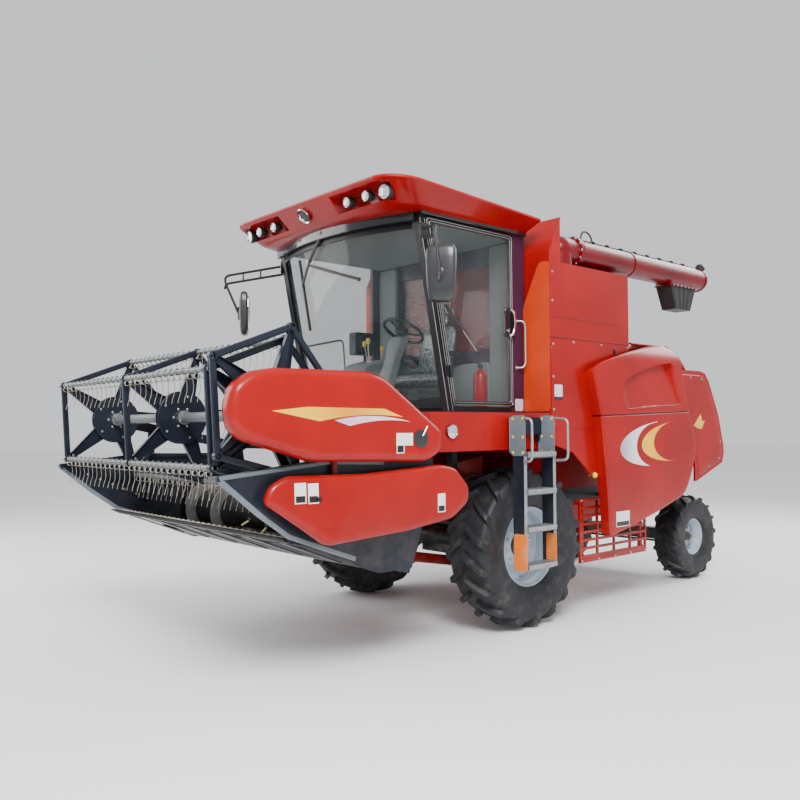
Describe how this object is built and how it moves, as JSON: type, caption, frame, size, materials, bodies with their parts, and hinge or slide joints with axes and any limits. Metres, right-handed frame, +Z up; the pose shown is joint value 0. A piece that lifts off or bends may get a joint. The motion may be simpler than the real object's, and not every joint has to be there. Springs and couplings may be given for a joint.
{
  "type": "combine harvester",
  "caption": "Wheeled combine harvester with cab, grain tank, folded unloading tube, feeder and a cutting header with auger and tined reel that lift on rams.",
  "frame": {"origin": "centre of the bounding box on the ground", "axes": "+X to the machine's left, +Y from the header to the rear, +Z up"},
  "size_m": [2.9826, 6.2984, 3.45],
  "materials": {
    "red_paint": "glossy machine red",
    "frame_paint": "dark navy, dusty",
    "axle_paint": "semi-gloss black",
    "rim_paint": "light grey",
    "tyre_rubber": "matt, dusty",
    "zinc_steel": "galvanised",
    "cast_drive": "cast engine block",
    "clear_glass": "tinted slightly green",
    "lamp_plastic": "lens and housing",
    "cab_plastic": "grey-green cab trim",
    "seat_fabric": "seat cloth",
    "black_plastic": "mirror housing",
    "spout_rubber": "soft chute",
    "chrome_rod": "ram rods"
  },
  "bodies": {
    "machine": {"main_frame": "frame_paint", "front_axle": "axle_paint", "rear_axle": "axle_paint", "thresher_body": "red_paint", "lower_guard": "red_paint", "grain_tank": "red_paint", "engine_block": "cast_drive", "engine_hood": "red_paint", "rear_hood": "red_paint", "cab_platform": "red_paint", "cab_frame": "red_paint", "cab_glass": "clear_glass", "cab_roof": "red_paint", "roof_lamps": "lamp_plastic", "operator_seat": "seat_fabric", "steering_console": "cab_plastic", "mirrors": "black_plastic", "ladder": "frame_paint"},
    "header": {"header_body": "frame_paint", "cutterbar": "axle_paint", "lower_cover": "red_paint", "feeder_house": "red_paint"},
    "auger": {"header_auger": "frame_paint"},
    "reel_arm": {"reel_arms": "red_paint", "upper_cover": "red_paint"},
    "reel": {"reel_frame": "frame_paint"},
    "ring": {"reel_ring": "frame_paint"},
    "lift_barrel": {"lift_barrels": "axle_paint"},
    "lift_rod": {"lift_rods": "chrome_rod"},
    "reel_barrel": {"reel_barrels": "axle_paint"},
    "reel_rod": {"reel_rods": "chrome_rod"},
    "knuckle_l": {"knuckle_left": "axle_paint"},
    "knuckle_r": {"knuckle_right": "axle_paint"},
    "track_rod": {"tie_rod": "axle_paint"},
    "door": {"cab_door": "red_paint", "door_glass": "clear_glass"},
    "unloader": {"unloading_tube": "red_paint", "unloading_spout": "spout_rubber"},
    "panel_l": {"side_panel_left": "red_paint"},
    "panel_r": {"side_panel_right": "red_paint"},
    "tine_1": {"tine_bar_1": "zinc_steel"},
    "tine_2": {"tine_bar_2": "zinc_steel"},
    "tine_3": {"tine_bar_3": "zinc_steel"},
    "tine_4": {"tine_bar_4": "zinc_steel"},
    "tine_5": {"tine_bar_5": "zinc_steel"},
    "front_wheel_left": {"front_tyre_left": "tyre_rubber", "front_rim_left": "rim_paint"},
    "front_wheel_right": {"front_tyre_right": "tyre_rubber", "front_rim_right": "rim_paint"},
    "rear_wheel_left": {"rear_tyre_left": "tyre_rubber", "rear_rim_left": "rim_paint"},
    "rear_wheel_right": {"rear_tyre_right": "tyre_rubber", "rear_rim_right": "rim_paint"}
  },
  "joints": [
    {"name": "header_lift", "type": "hinge", "parent": "machine", "child": "header", "pos_m": [-0.04007, -0.14082, 1.15], "axis": [-1, 0, 0], "range_deg": [-21.5, 3]},
    {"name": "auger_spin", "type": "hinge", "parent": "header", "child": "auger", "pos_m": [-0.04007, -1.95564, 0.97751], "axis": [-1, 0, 0], "continuous": true},
    {"name": "reel_lift", "type": "hinge", "parent": "header", "child": "reel_arm", "pos_m": [-0.04007, -1.56582, 1.47], "axis": [-1, 0, 0], "range_deg": [0, 15]},
    {"name": "reel_spin", "type": "hinge", "parent": "reel_arm", "child": "reel", "pos_m": [-0.04007, -2.71182, 1.699], "axis": [-1, 0, 0], "continuous": true},
    {"name": "ring_spin", "type": "hinge", "parent": "reel_arm", "child": "ring", "pos_m": [1.17493, -2.71182, 1.769], "axis": [-1, 0, 0], "continuous": true},
    {"name": "lift_barrel_swing", "type": "hinge", "parent": "machine", "child": "lift_barrel", "pos_m": [-0.04007, -0.36082, 0.47], "axis": [-1, 0, 0], "range_deg": [-27.07, 3.78]},
    {"name": "lift_rod_slide", "type": "slide", "parent": "lift_barrel", "child": "lift_rod", "axis": [0, -0.9837, 0.1798], "range_m": [-0.25411, 0.03546]},
    {"name": "reel_barrel_swing", "type": "hinge", "parent": "header", "child": "reel_barrel", "pos_m": [-0.04007, -2.32637, 1.18694], "axis": [-1, 0, 0], "range_deg": [0, 5.02]},
    {"name": "reel_rod_slide", "type": "slide", "parent": "reel_barrel", "child": "reel_rod", "axis": [0, -0.0264, 0.9997], "range_m": [0, 0.19867]},
    {"name": "steer_left", "type": "hinge", "parent": "machine", "child": "knuckle_l", "pos_m": [0.57993, 2.71118, 0.438], "axis": [0, 0, 1], "range_deg": [-35, 35]},
    {"name": "steer_right", "type": "hinge", "parent": "machine", "child": "knuckle_r", "pos_m": [-0.66007, 2.71118, 0.438], "axis": [0, 0, 1], "range_deg": [-35, 35]},
    {"name": "track_rod_swing", "type": "hinge", "parent": "knuckle_l", "child": "track_rod", "pos_m": [0.57993, 2.86118, 0.338], "axis": [0, 0, 1], "range_deg": [-35, 35]},
    {"name": "door_swing", "type": "hinge", "parent": "machine", "child": "door", "pos_m": [0.90793, -1.05634, 2.45], "axis": [0, 0.1955, -0.9807], "range_deg": [0, 70]},
    {"name": "unloader_swing", "type": "hinge", "parent": "machine", "child": "unloader", "pos_m": [1.01993, 0.25918, 3.14], "axis": [0, 0, -1], "range_deg": [0, 90]},
    {"name": "panel_left_lift", "type": "hinge", "parent": "machine", "child": "panel_l", "pos_m": [1.12493, 1.41918, 2.38], "axis": [0, -1, 0], "range_deg": [0, 75]},
    {"name": "panel_right_lift", "type": "hinge", "parent": "machine", "child": "panel_r", "pos_m": [-1.20507, 1.41918, 2.38], "axis": [0, 1, 0], "range_deg": [0, 75]},
    {"name": "front_wheel_left_roll", "type": "hinge", "parent": "machine", "child": "front_wheel_left", "pos_m": [0.92893, -0.24082, 0.651], "axis": [-1, 0, 0], "continuous": true},
    {"name": "rear_wheel_left_roll", "type": "hinge", "parent": "knuckle_l", "child": "rear_wheel_left", "pos_m": [0.75993, 2.71118, 0.438], "axis": [-1, 0, 0], "continuous": true},
    {"name": "front_wheel_right_roll", "type": "hinge", "parent": "machine", "child": "front_wheel_right", "pos_m": [-1.00907, -0.24082, 0.651], "axis": [-1, 0, 0], "continuous": true},
    {"name": "rear_wheel_right_roll", "type": "hinge", "parent": "knuckle_r", "child": "rear_wheel_right", "pos_m": [-0.84007, 2.71118, 0.438], "axis": [-1, 0, 0], "continuous": true},
    {"name": "tine_1_turn", "type": "hinge", "parent": "reel", "child": "tine_1", "pos_m": [-0.04007, -2.22558, 1.72619], "axis": [-1, 0, 0], "continuous": true},
    {"name": "tine_2_turn", "type": "hinge", "parent": "reel", "child": "tine_2", "pos_m": [-0.04007, -2.58742, 2.16984], "axis": [-1, 0, 0], "continuous": true},
    {"name": "tine_3_turn", "type": "hinge", "parent": "reel", "child": "tine_3", "pos_m": [-0.04007, -3.12118, 1.96281], "axis": [-1, 0, 0], "continuous": true},
    {"name": "tine_4_turn", "type": "hinge", "parent": "reel", "child": "tine_4", "pos_m": [-0.04007, -3.08922, 1.3912], "axis": [-1, 0, 0], "continuous": true},
    {"name": "tine_5_turn", "type": "hinge", "parent": "reel", "child": "tine_5", "pos_m": [-0.04007, -2.53571, 1.24496], "axis": [-1, 0, 0], "continuous": true}
  ],
  "couplings": [
    {"joint": "ring_spin", "follows": "reel_spin", "ratio": 1},
    {"joint": "steer_right", "follows": "steer_left", "ratio": 1},
    {"joint": "track_rod_swing", "follows": "steer_left", "ratio": -1},
    {"joint": "lift_barrel_swing", "follows": "header_lift", "ratio": 1.2591},
    {"joint": "lift_rod_slide", "follows": "header_lift", "m_per_rad": 0.67719},
    {"joint": "reel_barrel_swing", "follows": "reel_lift", "ratio": 0.33457},
    {"joint": "reel_rod_slide", "follows": "reel_lift", "m_per_rad": 0.75886},
    {"joint": "tine_1_turn", "follows": "reel_spin", "ratio": -1},
    {"joint": "tine_2_turn", "follows": "reel_spin", "ratio": -1},
    {"joint": "tine_3_turn", "follows": "reel_spin", "ratio": -1},
    {"joint": "tine_4_turn", "follows": "reel_spin", "ratio": -1},
    {"joint": "tine_5_turn", "follows": "reel_spin", "ratio": -1}
  ]
}
